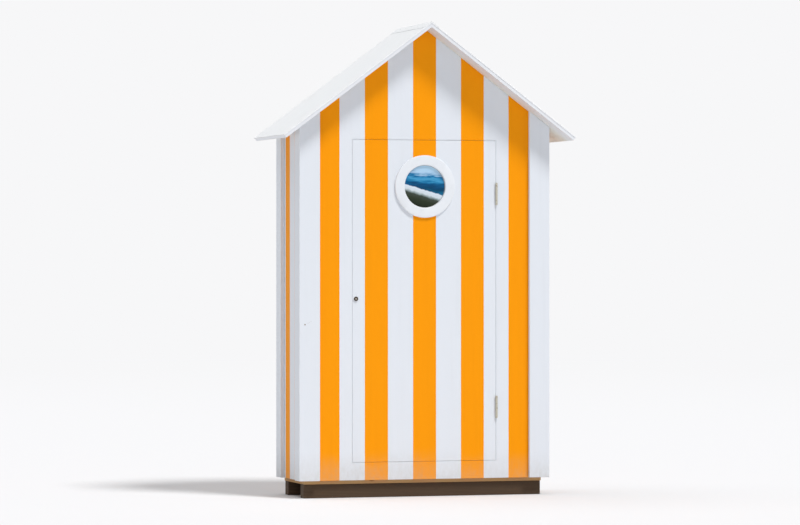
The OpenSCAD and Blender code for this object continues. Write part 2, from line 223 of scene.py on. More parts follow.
bpy.ops.object.select_all(action="DESELECT")
bpy.ops.mesh.primitive_plane_add(size=floor_across)
studio_floor = bpy.context.object
studio_floor.name = "studio_floor"
studio_floor.data.materials.append(ground.owner)
studio_floor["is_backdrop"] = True

for name, spot, strength, angle in (
    ("key_lamp", key_spot, key_strength, key_angle),
    ("top_lamp", top_spot, top_strength, top_angle),
):
    aim = Vector(spot).to_track_quat("Z", "Y").to_euler()
    bpy.ops.object.light_add(type="SUN", location=spot, rotation=aim)
    lamp = bpy.context.object
    lamp.name = name
    lamp.data.energy = strength
    lamp.data.angle = angle


# Ground bearers
# Two lengths of sawn softwood lie flat across the hut, one near the front and one near the
# back. They are brown with preservative and keep the floor off the ground.
bearer_early = (0.110, 0.066, 0.036, 1)
bearer_late = (0.040, 0.024, 0.014, 1)
bearer_arris = 0.003
stretch_along_grain = 0.05
log_heart = (0.113, 0.087, 0.061)
rings_a_metre = 52
fibres_a_metre = 900
patches_a_metre = 14
knots_a_metre = 9
knots_along_grain = 4.5
knot_rim = (0.13, 0.07)
knot_shade = 0.45
sawn_dullness = 0.64
sawn_depth = 0.0003
sawn_sheen = 0.3
weld_within = 0.00002
flat_within = math.radians(0.1)
sharp_from = math.radians(30)


def open_piece(piece):
    """Opens one piece in edit mode with all of it selected."""
    bpy.ops.object.select_all(action="DESELECT")
    bpy.context.view_layer.objects.active = piece
    piece.select_set(True)
    bpy.ops.object.mode_set(mode="EDIT")
    bpy.ops.mesh.select_all(action="SELECT")


def close_piece():
    bpy.ops.object.mode_set(mode="OBJECT")


def copy_of(name, node, flat=True):
    """A new piece with the shape of a CAD node, its triangles joined, and merged where flat."""
    piece = bpy.data.objects.new(name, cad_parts[node].data.copy())
    bpy.context.collection.objects.link(piece)
    open_piece(piece)
    bpy.ops.mesh.customdata_custom_splitnormals_clear()
    bpy.ops.mesh.remove_doubles(threshold=weld_within)
    if flat:
        bpy.ops.mesh.dissolve_limited(angle_limit=flat_within)
        bpy.ops.mesh.faces_shade_flat()
    close_piece()
    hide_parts(node)
    return piece


def round_edges(piece, width, steps=2):
    """Rounds every sharp edge of a piece."""
    bpy.ops.object.select_all(action="DESELECT")
    bpy.context.view_layer.objects.active = piece
    piece.select_set(True)
    bevel = piece.modifiers.new("rounded", "BEVEL")
    bevel.width = width
    bevel.segments = steps
    bevel.angle_limit = sharp_from
    bpy.ops.object.modifier_apply(modifier="rounded")


def dress(piece, body, slot, finish, *others):
    """Gives a piece its finish, and each other finish to the faces that pass its test."""
    piece.data.materials.clear()
    piece.data.materials.append(finish)
    for face in piece.data.polygons:
        face.material_index = 0
    for number, (other, test) in enumerate(others, 1):
        piece.data.materials.append(other)
        for face in piece.data.polygons:
            if test(face):
                face.material_index = number
    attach(piece, body)


def timber(name, grain, early, late):
    """Softwood sawn along an axis: growth rings, knots, dark fibres and a furry skin."""
    finish = Finish(bpy.data.materials.new(name))
    along = [stretch_along_grain if axis == grain else 1 for axis in "xyz"]
    board = finish.vectors("MULTIPLY", finish.place(), along)
    log = finish.vectors("ADD", board, log_heart)
    growth = {"Scale": rings_a_metre, "Distortion": 7, "Detail": 2, "Detail Scale": 0.16}
    rings = finish.node(
        "ShaderNodeTexWave",
        {"wave_type": "RINGS", "rings_direction": grain.upper(), "wave_profile": "SAW"},
        {"Vector": log, **growth},
    )
    fibre = finish.noise([fibres_a_metre * part for part in along])
    tone = finish.noise([patches_a_metre * part for part in along])
    knot_pitch = [knots_along_grain if part < 1 else knots_a_metre for part in along]
    cells = finish.vectors("MULTIPLY", finish.place(), knot_pitch)
    knot = finish.node("ShaderNodeTexVoronoi", {}, {"Vector": cells, "Scale": 1.0}, "Distance")
    knot_brown = [part * knot_shade for part in late[:3]] + [1]
    colour = finish.mix(rings * 0.6 + fibre * 0.25, early, late)
    colour = finish.mix(finish.ease(tone, 0.35, 0.8) * 0.35, colour, late)
    colour = finish.mix(finish.ease(knot, *knot_rim) * 0.75, colour, knot_brown)
    dullness = fibre * 0.2 + sawn_dullness
    relief = fibre * 0.7 + rings * 0.3
    return finish.skin(colour, dullness, relief, sawn_depth, Specular_IOR_Level=sawn_sheen)


bearers = copy_of("ground_bearers", "bearers")
round_edges(bearers, bearer_arris)
dress(bearers, "hut", "dark_timber", timber("treated_timber", "x", bearer_early, bearer_late))


# Floor frame
# Planed softwood joists run from front to back between two rims. Only the lowest 20 mm of the
# rims and outer joists shows, below the painted walls.
planed_early = (0.60, 0.385, 0.185, 1)
planed_late = (0.40, 0.215, 0.080, 1)


def repaint(finish, *nodes):
    """Gives CAD nodes, whose shapes stay, a finish."""
    for node in nodes:
        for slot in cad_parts[node].material_slots:
            slot.material = finish


timber_across = timber("timber_across", "x", planed_early, planed_late)
timber_deep = timber("timber_deep", "y", planed_early, planed_late)
repaint(timber_deep, "floor_joists")
repaint(timber_across, "floor_rims")


# Floor planks
# Four planks with eased edges run across the hut, held by two nails at each joist, whose flat
# heads sit level with the wood. The corner posts cover the nails in the corners.
plank_count = 4
plank_gap = 0.0008
plank_arris = 0.0015
plank_early = (0.55, 0.36, 0.19, 1)
plank_late = (0.36, 0.20, 0.085, 1)
joist_lines = (-0.6875, -0.2292, 0.2292, 0.6875)
corner_posts_from = 0.6
floor_nail_r = 0.003
floor_nail_rise = 0.0003
floor_nail_in = 0.024
nail_grey = (0.30, 0.29, 0.28, 1)
nail_rust = (0.16, 0.075, 0.035, 1)
scratch_depth = 0.00008
head_turn_seed = 11
head_sides = 18
head_rim_share = 0.6
socket_depth_share = 0.7
square_on = 0.9
level_with_top = 0.99


def facing(direction, least=square_on):
    """A test that passes the faces whose normals look so far along a direction."""
    return lambda face: face.normal.dot(Vector(direction)) > least


def choose(piece, part, test):
    """Selects the faces or points of the open piece that pass a test."""
    bpy.ops.mesh.select_mode(type=part)
    bpy.ops.mesh.select_all(action="DESELECT")
    bpy.ops.object.mode_set(mode="OBJECT")
    for item in {"FACE": piece.data.polygons, "VERT": piece.data.vertices}[part]:
        item.select = bool(test(item))
    bpy.ops.object.mode_set(mode="EDIT")


def new_block(name, low, high):
    """A block between two corners, with its place in its mesh, ready to be shaped."""
    low, high = Vector(low), Vector(high)
    bpy.ops.object.select_all(action="DESELECT")
    bpy.ops.mesh.primitive_cube_add(size=1, location=(low + high) / 2, scale=high - low)
    bpy.ops.object.transform_apply(location=True, rotation=True, scale=True)
    bpy.context.object.name = name
    return bpy.context.object


def join_copies(name, pattern, moves):
    """Copies of one pattern, each moved by its own matrix, joined as one piece."""
    bpy.ops.object.select_all(action="DESELECT")
    for move in moves:
        piece = bpy.data.objects.new(name, pattern.data.copy())
        piece.data.transform(move)
        bpy.context.collection.objects.link(piece)
        piece.select_set(True)
    bpy.context.view_layer.objects.active = piece
    bpy.ops.object.join()
    bpy.data.objects.remove(pattern)
    piece.name = name
    return piece


def flat_head(radius, rise, *finishes, socket=0.0):
    """One nail or screw head that lies on z = 0, with an eased rim and, in a screw, a socket."""
    rim = rise * head_rim_share
    bpy.ops.object.select_all(action="DESELECT")
    bpy.ops.mesh.primitive_cylinder_add(
        vertices=head_sides, radius=radius, depth=rise, location=(0, 0, rise / 2)
    )
    bpy.ops.object.transform_apply(location=True, rotation=True, scale=True)
    head = bpy.context.object
    for finish in finishes:
        head.data.materials.append(finish)
    open_piece(head)
    choose(head, "FACE", facing((0, 0, 1)))
    bpy.ops.mesh.bevel(offset=rim, segments=2, affect="EDGES")
    if socket:
        choose(head, "FACE", facing((0, 0, 1), level_with_top))
        bpy.ops.mesh.inset(thickness=radius - rim - socket)
        down = (0, 0, -rise * socket_depth_share)
        bpy.ops.mesh.extrude_region_move(TRANSFORM_OT_translate={"value": down})
    close_piece()
    for face in head.data.polygons:
        if face.center.xy.length < socket * 1.02:
            face.material_index = 1
    return head


def turned(place, outward):
    """The move that sets a head at a place, facing outwards, turned at random like a driven one."""
    face_out = Vector(outward).to_track_quat("Z", "Y").to_matrix().to_4x4()
    turn = Matrix.Rotation(random.uniform(0, math.tau), 4, "Z")
    return Matrix.Translation(place) @ face_out @ turn


def set_heads(name, body, head, moves):
    """A head at each of its places, all of them one piece that rides on a body."""
    heads = join_copies(name, head, moves)
    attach(heads, body)


def metal(name, clean, rust, rusting=0.5, dullness=0.38, metallic=1.0):
    """Plain steel that has stood outdoors: dull patches, rust blooms and fine scratches."""
    finish = Finish(bpy.data.materials.new(name))
    bloom = finish.noise((70, 70, 70), 4)
    scratch = finish.noise((900, 900, 160))
    patch = finish.ease(bloom, 0.75 - rusting * 0.4, 0.85 - rusting * 0.2)
    colour = finish.mix(patch, clean, rust)
    colour = finish.mix(scratch * 0.15, colour, rust)
    relief = bloom * 0.6 + scratch * 0.4
    dullness = patch * 0.35 + dullness
    return finish.skin(colour, dullness, relief, scratch_depth, Metallic=metallic)


random.seed(head_turn_seed)
floor_low, floor_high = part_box("floor_boards")
plank_wide = (floor_high[1] - floor_low[1]) / plank_count
plank = new_block(
    "plank",
    (floor_low[0], floor_low[1] + plank_gap / 2, floor_low[2]),
    (floor_high[0], floor_low[1] + plank_wide - plank_gap / 2, floor_high[2]),
)
open_piece(plank)
choose(plank, "FACE", facing((0, 0, 1)))
bpy.ops.mesh.bevel(offset=plank_arris, segments=2, affect="EDGES")
close_piece()
plank_moves = [Matrix.Translation((0, plank_wide * i, 0)) for i in range(plank_count)]
planks = join_copies("floor_planks", plank, plank_moves)
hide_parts("floor_boards")
dress(planks, "hut", "bare_timber", timber("floor_timber", "x", plank_early, plank_late))

nail_steel = metal("nail_steel", nail_grey, nail_rust)
floor_nail = flat_head(floor_nail_r, floor_nail_rise, nail_steel)
floor_nail_moves = []
for x in joist_lines:
    for i in range(plank_count):
        if abs(x) > corner_posts_from and i in (0, plank_count - 1):
            continue
        plank_middle = floor_low[1] + plank_wide * (i + 0.5)
        for side in (-1, 1):
            y = plank_middle + side * (plank_wide / 2 - floor_nail_in)
            floor_nail_moves.append(turned((x, y, floor_high[2]), (0, 0, 1)))
set_heads("floor_nails", "hut", floor_nail, floor_nail_moves)


# Wall and roof frame
# Posts, studs, rails and rafters of the same planed softwood, 45 mm square, screwed together
# and left bare inside. The ridge beam carries the top of the rafters.
timber_upright = timber("timber_upright", "z", planed_early, planed_late)
repaint(timber_upright, "corner_posts", "door_posts", "studs")
repaint(timber_across, "door_header", "rafters", "back_rails")
repaint(timber_deep, "ridge_beam", "side_rails")


# Front wall
# One sheet of plywood with the doorway cut out, rolled white with orange stripes masked off
# from the ridge line outwards. Its fixings are sunk, filled and painted over.
hut_orange = (0.985, 0.342, 0.001, 1)
hut_orange_deep = (0.960, 0.322, 0.001, 1)
hut_white = (0.775, 0.814, 0.871, 1)
rain_tint = (0.770, 0.768, 0.752, 1)
splash_dust = (0.460, 0.410, 0.340, 1)
orange_stripes = ((-0.069, 0.069), (0.219, 0.357), (0.507, 0.628))
tape_wander = 0.0016
splash_reach = (0.36, 0.14)
paint_depth = 0.00012
paint_dullness = 0.42
paint_gloss = 0.09
sheet_arris = 0.0012
ply_early = (0.62, 0.44, 0.25, 1)
ply_late = (0.42, 0.255, 0.115, 1)
ply_dullness = 0.6
ply_depth = 0.0002
filled_r = 0.0045
filled_rise = 0.00025
post_line = 0.4575
header_line = 2.0685
rim_line = 0.130
rafter_in = 0.050
lowest_screw = 0.30
upright_step = 0.28
header_step = 0.14
rim_step = 0.19
rafter_step = 0.155
within_hair = 0.001


def rolled_paint(name, colour_of, fall=(26, 26, 1.3)):
    """Satin paint rolled on board: a stipple, a faint grain, rain streaks, and dust low down."""
    finish = Finish(bpy.data.materials.new(name))
    rain = finish.noise(fall, 3)
    cloud = finish.noise((3, 3, 3))
    stipple = finish.noise((620, 620, 620), 1)
    grain = finish.noise((210, 210, 5))
    splash = finish.ease(finish.axis("z") + cloud * 0.16, *splash_reach)
    splash = splash * finish.noise((55, 55, 30), 4)
    streaks = finish.ease(rain, 0.48, 0.85) * 0.13
    colour = finish.mix(streaks, colour_of(finish), rain_tint, "MULTIPLY")
    colour = finish.mix(splash * 0.55, colour, splash_dust)
    dullness = cloud * 0.14 + splash * 0.2 + paint_dullness
    relief = stipple * 0.5 + grain * 0.5
    return finish.skin(colour, dullness, relief, paint_depth, Specular_IOR_Level=paint_gloss)


def striped(finish, line, stripes):
    """Orange where a line across the boards runs within a stripe, and white between."""
    orange = 0
    for first, last in stripes:
        orange = (line > first) * (line < last) + orange
    brushed = finish.mix(finish.noise((30, 30, 2.2), 3), hut_orange, hut_orange_deep)
    return finish.mix(orange, hut_white, brushed)


def tape_edge(finish, name):
    """A place along x or y that wanders a little, as the edge of masking tape does."""
    return finish.axis(name) + (finish.noise((5, 5, 8)) - 0.5) * tape_wander


def stripes_across(finish):
    """The stripes of the front, the back and the door, the same to both sides of the ridge."""
    return striped(finish, abs(tape_edge(finish, "x")), orange_stripes)


def bare_ply(name, early, late):
    """The unpainted face of plywood: a peeled veneer whose rings flow in long tongues."""
    finish = Finish(bpy.data.materials.new(name))
    flow = finish.noise((4.5, 4.5, 0.55))
    rings = finish.maths("PINGPONG", flow * 26, 0.5) * 2
    pores = finish.noise((800, 800, 26))
    tone = finish.noise((3, 3, 1))
    colour = finish.mix(rings * 0.5 + pores * 0.3, early, late)
    colour = finish.mix(tone * 0.3, colour, late)
    dullness = pores * 0.2 + ply_dullness
    relief = pores * 0.7 + rings * 0.3
    return finish.skin(colour, dullness, relief, ply_depth, Specular_IOR_Level=sawn_sheen)


stripe_paint = rolled_paint("striped_front_paint", stripes_across)
raw_ply = bare_ply("bare_plywood", ply_early, ply_late)

(wall_left, wall_front, wall_foot), (door_left, wall_back, shoulder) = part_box("front_left_panel")
door_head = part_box("front_gable_panel")[0][2]
gable_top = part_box("front_gable_panel")[1][2]
sill_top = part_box("front_sill_panel")[1][2]
roof_fall = (gable_top - shoulder) / -door_left
eaves = gable_top + roof_fall * wall_left

front_wall = new_block(
    "front_wall", (wall_left, wall_front, wall_foot), (-wall_left, wall_back, eaves)
)
open_piece(front_wall)
bpy.ops.mesh.bisect(plane_co=(0, 0, 0), plane_no=(1, 0, 0))
choose(
    front_wall,
    "VERT",
    lambda point: abs(point.co.x) < within_hair and point.co.z > eaves - within_hair,
)
bpy.ops.transform.translate(value=(0, 0, gable_top - eaves))
for cut_at, square_to in (
    ((door_left, 0, 0), (1, 0, 0)),
    ((-door_left, 0, 0), (1, 0, 0)),
    ((0, 0, sill_top), (0, 0, 1)),
    ((0, 0, door_head), (0, 0, 1)),
):
    bpy.ops.mesh.select_all(action="SELECT")
    bpy.ops.mesh.bisect(plane_co=cut_at, plane_no=square_to)
choose(
    front_wall,
    "FACE",
    lambda face: abs(face.normal.y) > square_on
    and abs(face.center.x) < -door_left
    and sill_top < face.center.z < door_head,
)
bpy.ops.mesh.delete(type="FACE")
bpy.ops.mesh.select_mode(type="EDGE")
bpy.ops.mesh.select_all(action="DESELECT")
bpy.ops.mesh.select_non_manifold()
bpy.ops.mesh.bridge_edge_loops()
bpy.ops.mesh.select_all(action="SELECT")
bpy.ops.mesh.normals_make_consistent(inside=False)
bpy.ops.mesh.dissolve_limited(angle_limit=flat_within)
close_piece()
round_edges(front_wall, sheet_arris)
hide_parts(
    "front_left_panel",
    "front_right_panel",
    "front_gable_panel",
    "front_sill_panel",
)
dress(front_wall, "hut", "striped_paint", stripe_paint, (raw_ply, facing((0, 1, 0))))

rim_marks = [(rim_step * i, rim_line) for i in range(-3, 4)]
rafter_marks = []
for i in range(-3, 4):
    x = rafter_step * i
    rafter_marks.append((x, gable_top - roof_fall * abs(x) - rafter_in))
front_marks = [
    (side * post_line, lowest_screw + upright_step * i) for side in (-1, 1) for i in range(7)
]
front_marks += [(header_step * i, header_line) for i in range(-2, 3)]
front_marks += rim_marks + rafter_marks
set_heads(
    "front_filled_screws",
    "hut",
    flat_head(filled_r, filled_rise, stripe_paint),
    [turned((x, wall_front, z), (0, -1, 0)) for x, z in front_marks],
)


# Side and back walls
# The same plywood closes the other three sides. Each side wall has two narrower stripes, and
# the back repeats the stripes of the front. The inner faces are bare.
side_stripes = ((-0.124, -0.033), (0.069, 0.160))
rail_line = 1.1335
rail_step = 0.13
side_marks_y = (-0.06, 0.038, 0.136)
stud_line = 0.2367


def stripes_along(finish):
    """The narrower stripes of the side walls."""
    return striped(finish, tape_edge(finish, "y"), side_stripes)


side_paint = rolled_paint("striped_side_paint", stripes_along)
for side, inward in (("left", 1), ("right", -1)):
    panel = copy_of(side + "_wall", side + "_panel")
    round_edges(panel, sheet_arris)
    dress(panel, "hut", "striped_paint", side_paint, (raw_ply, facing((inward, 0, 0))))

back_wall = copy_of("back_wall", "back_panel")
round_edges(back_wall, sheet_arris)
dress(back_wall, "hut", "striped_paint", stripe_paint, (raw_ply, facing((0, -1, 0))))

back_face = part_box("back_panel")[1][1]
side_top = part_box("left_panel")[1][2]
back_marks = [
    (side * stud_line, lowest_screw + upright_step * i) for side in (-1, 1) for i in range(8)
]
back_marks += rim_marks + [(rail_step * i, rail_line) for i in range(-4, 5)] + rafter_marks
set_heads(
    "back_filled_screws",
    "hut",
    flat_head(filled_r, filled_rise, stripe_paint),
    [turned((x, back_face, z), (0, 1, 0)) for x, z in back_marks],
)
set_heads(
    "side_filled_screws",
    "hut",
    flat_head(filled_r, filled_rise, side_paint),
    [
        turned((side * -wall_left, y, z), (side, 0, 0))
        for side in (-1, 1)
        for y in side_marks_y
        for z in (rim_line, rail_line, side_top - 2 * rafter_in)
    ],
)


# Corner boards
# Two boards meet at each corner, the front one lapped over the side one, and cover the cut
# edges of the plywood. They are white all over, with rounded arrises and rows of nails.
corner_arris = 0.0022
corner_nail_r = 0.0032
corner_nail_rise = 0.0004
corner_nail_in = (0.022, 0.095)
corner_side_nail_in = 0.055
corner_nail_rows = 7
corner_nail_foot = 0.06
corner_nail_step = 0.32
corner_nail_stop = 0.12
hut_middle_y = 0.038
corner_out_y = 0.250
corner_front_y = -0.212
corner_edge_x = 0.7495
lap_line = 0.0006
lap_depth = 0.022
nail_stain = (0.24, 0.17, 0.12, 1)
mark_places = ((-0.717, 0.988), (-0.699, 0.997), (-0.6905, 1.000), (-0.6815, 1.006))
mark_reach = 0.0058
mark_ragged = 0.004
mark_fade = (0.0015, -0.0005)
speck_share = 0.45


def corner_white(finish):
    """White, dark in the hairline where the two boards meet, with a small mark on the left one."""
    out_y = abs(finish.axis("y") - hut_middle_y)
    front_lap = abs(out_y - (corner_out_y - lap_depth)) < lap_line
    hairline = front_lap * (abs(finish.axis("x")) > corner_edge_x)
    colour = finish.mix(hairline * 0.6, hut_white, rain_tint, "MULTIPLY")
    for number, (x, z) in enumerate(mark_places):
        from_mark = finish.vectors("SUBTRACT", finish.place(), (x, corner_front_y, z))
        reach = finish.vectors("LENGTH", from_mark, out="Value")
        ragged = reach + finish.noise((300, 300, 300)) * mark_ragged
        size = mark_reach if number == 0 else mark_reach * speck_share
        stain = finish.ease(ragged, size + mark_fade[0], size + mark_fade[1]) * 0.85
        colour = finish.mix(stain, colour, nail_stain)
    return colour


corner_paint = rolled_paint("corner_board_paint", corner_white, (40, 40, 1.0))
corner_moves = []
for node in ("front_left_corner", "front_right_corner", "back_left_corner", "back_right_corner"):
    board = copy_of(node + "_board", node)
    round_edges(board, corner_arris)
    dress(board, "hut", "white_paint", corner_paint)
    low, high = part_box(node)
    side = 1 if low[0] > 0 else -1
    end = 1 if low[1] > 0 else -1
    flat_x = high[0] if side > 0 else low[0]
    flat_y = high[1] if end > 0 else low[1]
    for i in range(corner_nail_rows):
        z = low[2] + corner_nail_foot + corner_nail_step * i
        if z > high[2] - corner_nail_stop:
            continue
        for inset in corner_nail_in:
            corner_moves.append(turned((flat_x - side * inset, flat_y, z), (0, end, 0)))
        side_y = flat_y - end * corner_side_nail_in
        corner_moves.append(turned((flat_x, side_y, z), (side, 0, 0)))
corner_nail = flat_head(corner_nail_r, corner_nail_rise, corner_paint)
set_heads("corner_board_nails", "hut", corner_nail, corner_moves)


# Roof boards
# One sheet of board lies on each slope and runs out past the walls. Its edges are painted
# white as a fascia. The underside is white under the front and back eaves and goes over into a
# warm cream beside the walls, a painted warm bounce light in the shade under the eaves.
roof_white = (0.815, 0.837, 0.880, 1)
# The warm cream of the underside is a painted warm bounce light in the shade under the eaves.
soffit_bounce_cream = (0.770, 0.745, 0.660, 1)
soffit_stain = (0.600, 0.530, 0.430, 1)
soffit_white = (0.750, 0.770, 0.790, 1)
bounce_reach = 0.200
brush_reach = 0.320
board_arris = 0.0012
underside_from = 0.7


def plain_white(finish):
    return finish.mix(finish.noise((9, 9, 9)) * 0.2, roof_white, rain_tint, "MULTIPLY")


def painted_bounce_cream(finish):
    """Painted warm bounce light: cream, stained in patches, that goes over into white towards the
    front and back.
    """
    stained = finish.ease(finish.noise((7, 7, 7), 4), 0.45, 0.8) * 0.5
    warm_bounce = finish.mix(stained, soffit_bounce_cream, soffit_stain)
    painted = finish.ease(abs(finish.axis("y") - hut_middle_y), bounce_reach, brush_reach)
    return finish.mix(painted, warm_bounce, soffit_white)


edge_paint = rolled_paint("roof_edge_paint", plain_white, (18, 18, 18))
bounce_cream_paint = rolled_paint("soffit_painted_bounce", painted_bounce_cream, (9, 26, 9))
underside = (bounce_cream_paint, facing((0, 0, -1), underside_from))
for side in ("left", "right"):
    board = copy_of("roof_" + side + "_deck", "roof_" + side + "_board")
    round_edges(board, board_arris)
    dress(board, "hut", "roof_board_paint", edge_paint, underside)


# Roof sheets and ridge strip
# A smooth white sheet covers each board and turns down over its edges as a drip. It is held
# by clout nails round its edge, and a bent strip screwed along the ridge closes the joint. The
# drips at the front and back are a brighter white, a painted highlight.
sheet_white = (0.792, 0.808, 0.822, 1)
sheet_worn = (0.700, 0.714, 0.727, 1)
# The brighter white of the drips at the front and back is a painted highlight.
lip_highlight_white = (0.900, 0.912, 0.930, 1)
roof_dust = (0.520, 0.500, 0.450, 1)
sheet_round = 0.0010
strip_round = 0.0009
sheet_dullness = 0.55
ripple_depth = 0.0008
sheet_gloss = 0.05
lip_turn = 0.5
roof_pitch = math.radians(36.6)
clout_r = 0.0045
clout_rise = 0.0006
clout_in = 0.022
first_clout = 0.10
verge_clout_step = 0.084
eave_clout_step = 0.105
strip_screw_r = 0.004
strip_screw_rise = 0.0012
strip_screw_down = 0.019
strip_screw_step = 0.11
strip_socket_r = 0.0017
socket_brown = (0.06, 0.055, 0.05, 1)
zinc_grey = (0.46, 0.46, 0.45, 1)


def weathered_sheet(name, white, worn):
    """White sheeting: runs of rain down the slope, dust in broad patches, a faint ripple."""
    finish = Finish(bpy.data.materials.new(name))
    runs = finish.noise((2.2, 42, 2.2), 4)
    patches = finish.noise((5, 5, 5), 5)
    ripple = finish.noise((7, 7, 7))
    chalk = finish.noise((420, 420, 420), 3)
    colour = finish.mix(finish.ease(runs, 0.45, 0.8) * 0.22, white, worn)
    colour = finish.mix(finish.ease(patches, 0.56, 0.8) * 0.10, colour, roof_dust)
    dullness = patches * 0.2 + sheet_dullness
    relief = ripple + chalk * 0.03
    return finish.skin(colour, dullness, relief, ripple_depth, Specular_IOR_Level=sheet_gloss)


sheet_skin = weathered_sheet("weathered_roof_sheet", sheet_white, sheet_worn)
lip_highlight_skin = weathered_sheet("roof_sheet_lip_highlight", lip_highlight_white, sheet_white)
highlighted_lips = (lip_highlight_skin, lambda face: abs(face.normal.y) > lip_turn)
for side in ("left", "right"):
    sheet = copy_of("roof_" + side + "_cover", "roof_" + side + "_sheet")
    round_edges(sheet, sheet_round)
    dress(sheet, "hut", "roof_sheet", sheet_skin, highlighted_lips)
ridge = copy_of("ridge_capping", "ridge_strip")
round_edges(ridge, strip_round, 3)
dress(ridge, "hut", "roof_sheet", sheet_skin)

sheet_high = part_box("roof_right_sheet")[1]
strip_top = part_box("ridge_strip")[1][2]
slope_fall = math.tan(roof_pitch)
eave_x = sheet_high[0] - clout_in
verge_y = sheet_high[1] - clout_in
strip_screw_z = strip_top - slope_fall * strip_screw_down
clouts = []
strip_screws = []
for side in (-1, 1):
    up = (side * math.sin(roof_pitch), 0, math.cos(roof_pitch))
    spots = [
        (first_clout + verge_clout_step * i, end * verge_y) for i in range(9) for end in (-1, 1)
    ]
    spots += [(eave_x, eave_clout_step * i) for i in range(-2, 3)]
    for x, y in spots:
        clouts.append(turned((side * x, y, sheet_high[2] - slope_fall * x), up))
    for i in range(-2, 3):
        spot = (side * strip_screw_down, strip_screw_step * i, strip_screw_z)
        strip_screws.append(turned(spot, up))
clout = flat_head(clout_r, clout_rise, sheet_skin)
set_heads("roof_clouts", "hut", clout, clouts)

# The recessed sockets of the screws are coloured a near-black brown.
dark_socket = metal("dark_socket", socket_brown, nail_rust, 0.8, 0.7, 0.4)
fixing_steel = metal("zinc_screw", zinc_grey, nail_rust, 0.25)
strip_screw = flat_head(
    strip_screw_r, strip_screw_rise, sheet_skin, dark_socket, socket=strip_socket_r
)
set_heads("ridge_screws", "hut", strip_screw, strip_screws)


# Doorway lipping
# Thin strips of wood glued round the sawn edges of the doorway close its gap to a hairline. They
# stop at the hinges, are a little thicker beside the lock, and carry the paint of the front.
lip_t = 0.0045
lock_lip_t = 0.0050
lip_depth = (-0.1896, -0.1745)
lip_arris = 0.0004
hinge_rests = ((0.4455, 0.5715), (1.6715, 1.7975))

lower_rest, upper_rest = hinge_rests
lip_runs = [
    (sill_top, lower_rest[0]),
    (lower_rest[1], upper_rest[0]),
    (upper_rest[1], door_head),
]
lips = [((-door_left - lip_t, low), (-door_left, high)) for low, high in lip_runs]
lips += [
    ((door_left, sill_top), (door_left + lock_lip_t, door_head)),
    ((door_left + lock_lip_t, sill_top), (-door_left - lip_t, sill_top + lip_t)),
    ((door_left + lock_lip_t, door_head - lip_t), (-door_left - lip_t, door_head)),
]
strips = []
for low, high in lips:
    strip = new_block(
        "lipping_strip", (low[0], lip_depth[0], low[1]), (high[0], lip_depth[1], high[1])
    )
    round_edges(strip, lip_arris)
    strips.append(strip)
bpy.ops.object.select_all(action="DESELECT")
for strip in strips:
    strip.select_set(True)
bpy.ops.object.join()
lipping = bpy.context.object
lipping.name = "doorway_lipping"
dress(lipping, "hut", "striped_paint", stripe_paint)


# Door leaf
# The piece of plywood sawn from the doorway hangs in it, so the stripes run on across the
# joints. Its edges and its inner face are painted white.
sawn_arris = 0.0005
behind_front = -0.5


def plain_hut_white(finish):
    return finish.mix(finish.noise((9, 9, 9)) * 0.25, hut_white, rain_tint, "MULTIPLY")


inner_white = rolled_paint("inner_white_paint", plain_hut_white)
edges_and_back = (inner_white, facing((0, 1, 0), behind_front))
door_leaf = copy_of("door_leaf", "door_panel")
round_edges(door_leaf, sawn_arris)
dress(door_leaf, "door", "striped_paint", stripe_paint, edges_and_back)


# Door frame and stops
# Stiles, rails and a brace stiffen the back of the door, glued and screwed. Thin stops on the
# door posts meet it when it shuts. All are white.
frame_screw_r = 0.0042
frame_screw_rise = 0.0004
frame_socket_r = 0.0018
stile_line = 0.394
stile_screw_foot = 0.32
stile_screw_step = 0.29
rail_screw_x = 0.22
rail_screw_heights = (0.255, 1.985)

repaint(inner_white, "door_stiles", "door_rails", "door_brace", "door_stops")
stile_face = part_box("door_stiles")[1][1]
stile_marks = [
    (side * stile_line, stile_screw_foot + stile_screw_step * i)
    for side in (-1, 1)
    for i in range(6)
]
stile_marks += [(side * rail_screw_x, z) for side in (-1, 1) for z in rail_screw_heights]


def frame_screw():
    """A screw of the door's frame and of the porthole's clamp."""
    return flat_head(
        frame_screw_r, frame_screw_rise, fixing_steel, dark_socket, socket=frame_socket_r
    )


set_heads(
    "door_frame_screws",
    "door",
    frame_screw(),
    [turned((x, stile_face, z), (0, 1, 0)) for x, z in stile_marks],
)


# Porthole
# A turned outer ring and an inner clamping ring hold a disc of tinted glass in the door. The
# glass sits in a bead of pale sealant, and eight screws draw the inner ring tight. Its outer
# face carries a painted reflection of a blue sky over haze and dark land.
ring_white = (0.800, 0.835, 0.880, 1)
ring_shade = (0.660, 0.690, 0.730, 1)
ring_dullness = 0.30
ring_depth = 0.00006
ring_gloss = 0.35
bead_pale = (0.48, 0.49, 0.50, 1)
bead_dusty = (0.36, 0.35, 0.33, 1)
bead_dullness = 0.5
bead_depth = 0.0002
bead_size = 0.0022
bead_slant = 0.65
bead_steps = 96
view_r = 0.122
clamp_screw_ring = 0.150
clamp_screw_count = 8
glass_cover = 0.95
glass_gloss = 0.12
glass_dullness = 0.04
back_dullness = 0.05
smear_depth = 0.00002
reflected_cloud_slant = 0.1
reflected_haze_slant = 0.29
reflected_haze_edge = (-0.14, -0.18)
smooth_below = math.radians(35)
glass_tint = (0.060, 0.120, 0.170, 1)
glass_dust = (0.180, 0.250, 0.300, 1)
